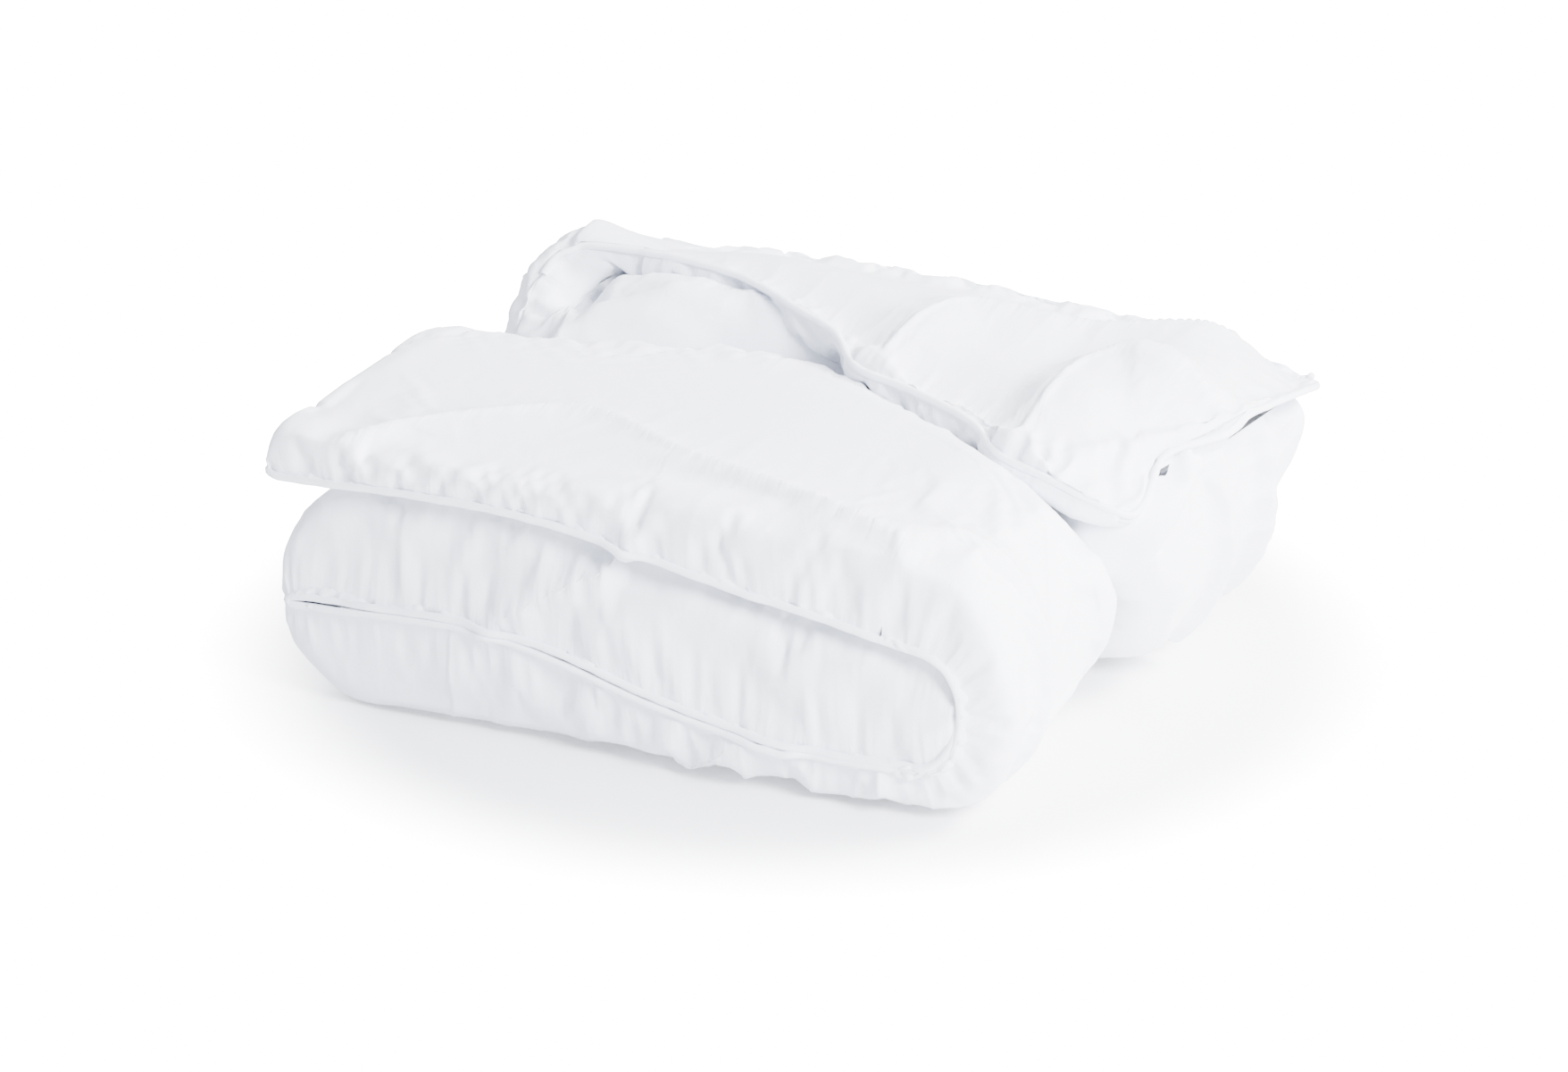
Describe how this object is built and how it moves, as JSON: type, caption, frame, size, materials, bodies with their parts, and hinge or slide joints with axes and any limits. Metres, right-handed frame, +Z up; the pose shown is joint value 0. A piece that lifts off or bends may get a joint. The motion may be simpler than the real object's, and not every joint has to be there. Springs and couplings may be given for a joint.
{
  "type": "folded duvet",
  "caption": "White quilted 140 x 200 cm duvet folded into a two-bundle pile, with piped edges, a top leaf that lifts and a turned flap that lifts.",
  "frame": {"origin": "centre of the folded pile's footprint, on the surface it lies on", "axes": "+X along the near face from the left fold to the right bend, +Y from the near piped edge to the back, +Z up"},
  "size_m": [0.7, 0.6, 0.2863],
  "materials": {
    "cover_cloth": "smooth fine-woven microfibre or percale, soft sheen, white",
    "filling": "lofty hollow-fibre batting, white",
    "piping": "self-fabric piping over a cord, white",
    "thread": "fine polyester quilting thread, white",
    "label": "blank satin tape"
  },
  "bodies": {
    "pile": {"near_bundle_filling": "filling", "near_bundle_outer_cloth": "cover_cloth", "near_bundle_inner_cloth": "cover_cloth", "near_bundle_piping": "piping", "near_bundle_quilting": "thread", "far_bundle_filling": "filling", "left_turn_filling": "filling", "far_bundle_outer_cloth": "cover_cloth", "far_bundle_inner_cloth": "cover_cloth", "far_bundle_quilting": "thread", "care_label": "label"},
    "top_leaf": {"top_leaf_filling": "filling", "top_leaf_outer_cloth": "cover_cloth", "top_leaf_inner_cloth": "cover_cloth", "top_leaf_piping": "piping", "top_leaf_quilting": "thread"},
    "turned_flap": {"turned_flap_filling": "filling", "turned_flap_outer_cloth": "cover_cloth", "turned_flap_inner_cloth": "cover_cloth", "turned_flap_piping": "piping", "turned_flap_quilting": "thread"}
  },
  "joints": [
    {"name": "top_leaf_lift", "type": "hinge", "parent": "pile", "child": "top_leaf", "pos_m": [0.05, -0.15, 0.2012], "axis": [0, 1, 0], "range_deg": [0, 50]},
    {"name": "turned_flap_lift", "type": "hinge", "parent": "pile", "child": "turned_flap", "pos_m": [-0.247, 0.2, 0.2452], "axis": [0, -1, 0], "range_deg": [0, 75]}
  ]
}
